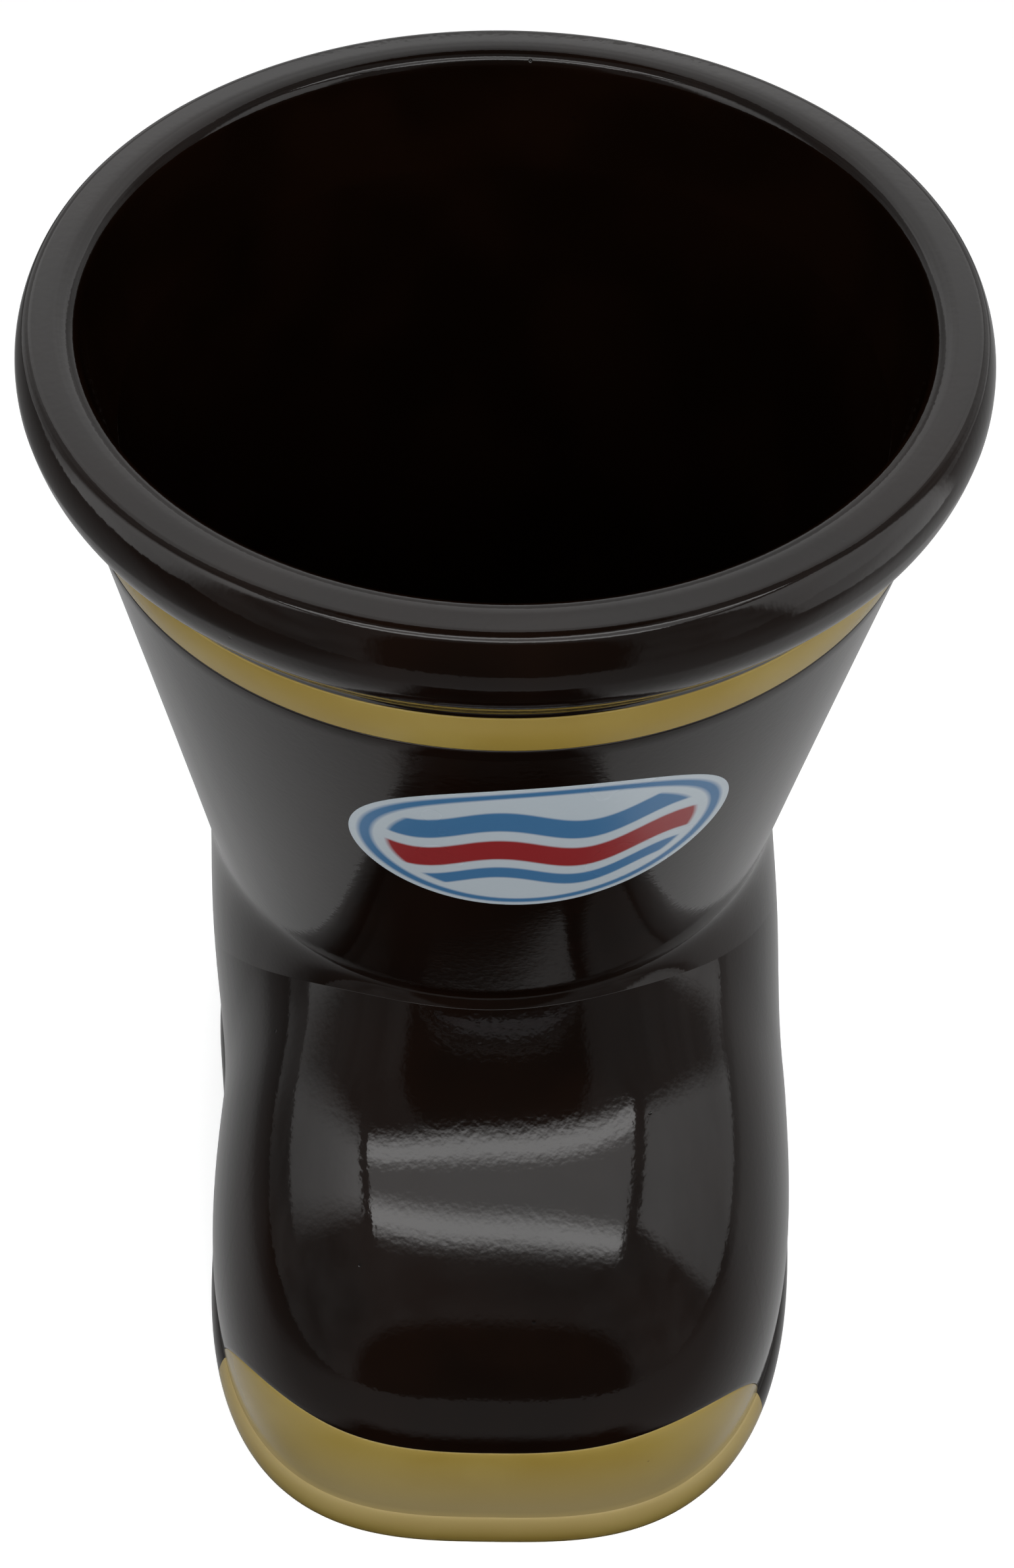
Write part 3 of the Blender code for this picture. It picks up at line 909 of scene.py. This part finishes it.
colour = mixed(tree, from_camera, mirrored_painted_shade, (FLOOR_SEEN,) * 3)
tree.links.new(colour, shader.inputs["Base Color"])
tree.links.new(maths(tree, "MULTIPLY", from_camera, FLOOR_GLOW), shader.inputs["Emission Strength"])
shader.inputs["Emission Color"].default_value = (1.0, 1.0, 1.0, 1.0)
shader.inputs["Roughness"].default_value = 0.9
shader.inputs["Specular IOR Level"].default_value = 0.0
floor.data.materials.append(sheet)
floor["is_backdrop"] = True
print("floor:", floor.name)

# %% [markdown]
# ## The cloth round the mug
# The world draws the cloth behind and beside the mug, the front wall with its opening, and the dark hole in
# the roof through which the camera looks. Each is a mask on the direction of the ray. In front, a direction
# is divided by its depth, so that straight edges on the wall stay straight. Slow noise stands for the folds
# of the cloth.

# %% World
TENT_LIGHT = 0.65
FRONT_WALL = 0.30
OPENING_LIGHT = 0.06
OPENING_HALF_WIDTH = 0.50
OPENING_TOP = 0.42
EDGE_SOFTNESS = 0.15
LEAST_DEPTH = 0.05
HOLE_TILT = math.radians(2)
HOLE_SPREAD = math.radians(18)
HOLE_SOFTNESS = math.radians(2)
FRONT_ENDS = (0.15, 0.65)     # how far round the front wall reaches before the brighter cloth begins
FOLD_SCALE = 5.0
FOLD_DEPTH = 0.25

world = bpy.data.worlds.new("tent")
bpy.context.scene.world = world
world.use_nodes = True
tree = world.node_tree
background = tree.nodes["Background"]
from_camera = add_node(tree, "ShaderNodeLightPath").outputs["Is Camera Ray"]
ray = add_node(tree, "ShaderNodeTexCoord").outputs["Generated"]
direction = add_node(tree, "ShaderNodeSeparateXYZ", {"Vector": ray})
depth = maths(tree, "MAXIMUM", maths(tree, "MULTIPLY", direction.outputs["Y"], -1.0), LEAST_DEPTH)
across = maths(tree, "ABSOLUTE", maths(tree, "DIVIDE", direction.outputs["X"], depth))
rise = maths(tree, "DIVIDE", direction.outputs["Z"], depth)


def share_squared(value, whole):
    return maths(tree, "POWER", maths(tree, "DIVIDE", maths(tree, "MAXIMUM", value, 0.0), whole), 2.0)


arch = maths(tree, "ADD", share_squared(across, OPENING_HALF_WIDTH), share_squared(rise, OPENING_TOP))
opening = ranged(tree, arch, 1 - 2 * EDGE_SOFTNESS, 1 + 2 * EDGE_SOFTNESS, 1.0, 0.0, smooth=True)
wall = ranged(tree, opening, 0.0, 1.0, FRONT_WALL, OPENING_LIGHT)
in_front = ranged(tree, direction.outputs["Y"], *FRONT_ENDS, 1.0, 0.0, smooth=True)
dimmer = maths(tree, "MULTIPLY", in_front, maths(tree, "SUBTRACT", wall, TENT_LIGHT))
cloth = maths(tree, "ADD", TENT_LIGHT, dimmer)
hole_middle = (0.0, -math.sin(HOLE_TILT), math.cos(HOLE_TILT))
towards_hole = add_node(tree, "ShaderNodeVectorMath", {0: ray, 1: hole_middle}, operation="DOT_PRODUCT")
around_hole = ranged(tree, towards_hole.outputs["Value"], math.cos(HOLE_SPREAD + HOLE_SOFTNESS),
                     math.cos(HOLE_SPREAD - HOLE_SOFTNESS), 1.0, 0.0, smooth=True)
folds = add_node(tree, "ShaderNodeTexNoise", {"Vector": ray, "Scale": FOLD_SCALE, "Detail": 3.0})
fold_share = ranged(tree, folds.outputs["Fac"], 0.3, 0.7, 1 - FOLD_DEPTH, 1 + FOLD_DEPTH)
cloth = maths(tree, "MULTIPLY", cloth, fold_share)
cloth = maths(tree, "MAXIMUM", maths(tree, "MULTIPLY", cloth, around_hole), OPENING_LIGHT)
tree.links.new(maths(tree, "MAXIMUM", cloth, from_camera), background.inputs["Strength"])
background.inputs["Color"].default_value = (1.0, 1.0, 1.0, 1.0)
print("world:", world.name)

# %% [markdown]
# ## Lights
# The light comes from glowing sheets of cloth. A sheet's radiance is its power over pi times its area, so
# the helper works out the power from the brightness that a mirror would see. A sheet may have a pattern,
# because the place on it that is asked for its brightness can be read inside its own nodes.

# %% Lamp helpers
ROOF = 0.345
LEFT_WALL = -0.215
RIGHT_WALL = 0.235
DOWN = Vector((0.0, 0.0, -1.0))
TO_RIGHT = Vector((1.0, 0.0, 0.0))


def lamp_sheet(name, centre, facing, width, height, radiance):
    light = bpy.data.lights.new(name, "AREA")
    light.shape = "RECTANGLE"
    light.size = width
    light.size_y = height
    light.energy = radiance * math.pi * width * height
    holder = bpy.data.objects.new(name, light)
    bpy.context.scene.collection.objects.link(holder)
    holder.location = centre
    holder.rotation_euler = facing.to_track_quat("-Z", "Y").to_euler()
    holder.visible_camera = False
    print(f"{name}: {light.energy:.2f} W")
    return holder


def sheet_place(holder):
    """The nodes of a lamp sheet and the place on it that is asked for its brightness."""
    holder.data.use_nodes = True
    tree = holder.data.node_tree
    place = add_node(tree, "ShaderNodeNewGeometry").outputs["Position"]
    return tree, add_node(tree, "ShaderNodeSeparateXYZ", {"Vector": place}).outputs


def set_glow(tree, glow):
    tree.links.new(glow, tree.nodes["Emission"].inputs["Strength"])


def from_line(tree, value, along, start, slope):
    """Signed distance of a value from a slanting line."""
    line = maths(tree, "ADD", maths(tree, "MULTIPLY", along, slope), start)
    return maths(tree, "SUBTRACT", value, line)


def stripe_glow(tree, distance, core, edge, strength):
    """Full strength within core of a line, and nothing beyond edge."""
    return ranged(tree, maths(tree, "ABSOLUTE", distance), core, edge, strength, 0.0, smooth=True)


# %% [markdown]
# ## The roof
# The roof in front of the mug is a soft sheet between two bright strips. It shows as the bright window on
# the instep. The strips lie a little askew, and the near one is bowed, as cloth that sags between its rods.

# %% Roof sheet
ROOF_MIDDLE = (0.0165, -0.245, ROOF)
ROOF_WIDTH, ROOF_DEPTH = 0.417, 0.35
NEAR_STRIP, NEAR_SLANT, NEAR_BOW = -0.151, 0.12, 0.73
FAR_STRIP, FAR_SLANT = -0.301, -0.16
SHEET_GLOW, STRIP_GLOW = 1.5, 4.0
NEAR_FADE = (-0.005, 0.022)
FAR_FADE = (-0.10, 0.0)
NEAR_CORE, NEAR_EDGE = 0.004, 0.032
FAR_CORE, FAR_EDGE = 0.006, 0.062

roof = lamp_sheet("roof_sheet", ROOF_MIDDLE, DOWN, ROOF_WIDTH, ROOF_DEPTH, 1.0)
tree, place = sheet_place(roof)
bowed = maths(tree, "MULTIPLY", maths(tree, "MULTIPLY", place["X"], place["X"]), NEAR_BOW)
past_near = maths(tree, "SUBTRACT", from_line(tree, place["Y"], place["X"], NEAR_STRIP, NEAR_SLANT), bowed)
past_far = from_line(tree, place["Y"], place["X"], FAR_STRIP, FAR_SLANT)
body = maths(tree, "MULTIPLY", ranged(tree, past_near, *NEAR_FADE, SHEET_GLOW, 0.0, smooth=True),
             ranged(tree, past_far, *FAR_FADE, 0.0, 1.0, smooth=True))
glow = maths(tree, "ADD", body, stripe_glow(tree, past_near, NEAR_CORE, NEAR_EDGE, STRIP_GLOW))
glow = maths(tree, "ADD", glow, stripe_glow(tree, past_far, FAR_CORE, FAR_EDGE, STRIP_GLOW))
set_glow(tree, glow)

# %% [markdown]
# ## Walls, rear sheet and fill
# Each side wall glows in a slanting band, more above than below. The gaps between walls and roof are the
# dark seams that the glaze mirrors. A sheet behind lights the top of the rim. A fill in front brings out
# the tan and the print. It is left out of reflections, since no lamp stood there.

# %% Walls, rear sheet and fill
WALL_SHEETS = (
    # name, centre, facing, width and height, band's line, its core and edge, glow from low to high
    ("left_wall", (LEFT_WALL, -0.115, 0.21), TO_RIGHT, (0.37, 0.25), (0.032, -0.65), (0.03, 0.10),
     (0.085, 0.31, 0.9, 2.2)),
    ("right_wall", (RIGHT_WALL, -0.10, 0.160), -TO_RIGHT, (0.36, 0.28), (-0.018, -0.46), (0.08, 0.11),
     (0.02, 0.20, 0.65, 1.4)),
)
REAR_MIDDLE, REAR_FACING, REAR_GLOW = (0.0, 0.28, 0.45), Vector((0.0, -0.5, -1.0)), 0.8
FILL_MIDDLE, FILL_FACING, FILL_GLOW = (0.0, -0.50, 0.32), Vector((0.0, 1.0, -0.5)), 1.6
WIDE, DEEP = 0.70, 0.40

for name, centre, facing, size, line, band, levels in WALL_SHEETS:
    wall = lamp_sheet(name, centre, facing, *size, 1.0)
    tree, place = sheet_place(wall)
    past_middle = from_line(tree, place["Y"], place["Z"], *line)
    band_glow = stripe_glow(tree, past_middle, *band, 1.0)
    set_glow(tree, maths(tree, "MULTIPLY", band_glow, ranged(tree, place["Z"], *levels)))
lamp_sheet("roof_sheet_behind", REAR_MIDDLE, REAR_FACING, WIDE, DEEP, REAR_GLOW)
fill = lamp_sheet("front_fill", FILL_MIDDLE, FILL_FACING, WIDE, DEEP, FILL_GLOW)
fill.visible_glossy = False

# %% [markdown]
# ## Camera
# The camera looks down into the mug from close by, a little off level. It is set from its place, its angles
# and the focal length in pixels of the picture that it has to match.

# %% Camera
PICTURE_HEIGHT = 2382
FOCAL_PIXELS = 3000
SENSOR = 36.0
CAMERA_PLACE = Vector((-0.000226, AXIS_Y - 0.148756, 0.24239))
CAMERA_PITCH = math.radians(51.286)
CAMERA_YAW = math.radians(0.464)
CAMERA_ROLL = math.radians(1.237)

ahead = Vector((math.sin(CAMERA_YAW), math.cos(CAMERA_YAW), 0.0))
up = Vector((0.0, 0.0, 1.0))
side = ahead.cross(up)
look = ahead * math.cos(CAMERA_PITCH) - up * math.sin(CAMERA_PITCH)
head = ahead * math.sin(CAMERA_PITCH) + up * math.cos(CAMERA_PITCH)
right = side * math.cos(CAMERA_ROLL) + head * math.sin(CAMERA_ROLL)
crown = head * math.cos(CAMERA_ROLL) - side * math.sin(CAMERA_ROLL)
camera = bpy.data.cameras.new("camera")
camera.sensor_width = SENSOR
camera.lens = SENSOR * FOCAL_PIXELS / PICTURE_HEIGHT
camera.clip_start = 0.005
viewer = bpy.data.objects.new("camera", camera)
bpy.context.scene.collection.objects.link(viewer)
viewer.matrix_world = Matrix.Translation(CAMERA_PLACE) @ Matrix((right, crown, -look)).transposed().to_4x4()
bpy.context.scene.camera = viewer
bpy.context.scene.view_settings.view_transform = "Standard"
print(f"lens {camera.lens:.1f} mm")

# %% [markdown]
# ## The size of the dressed mug
# The dressed mug has to fill the same box as the solids, so its box is printed in millimetres.

# %% Size of the dressed mug
low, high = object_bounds()
print("box of the dressed mug in mm:", [round(1000 * side, 2) for side in high - low])
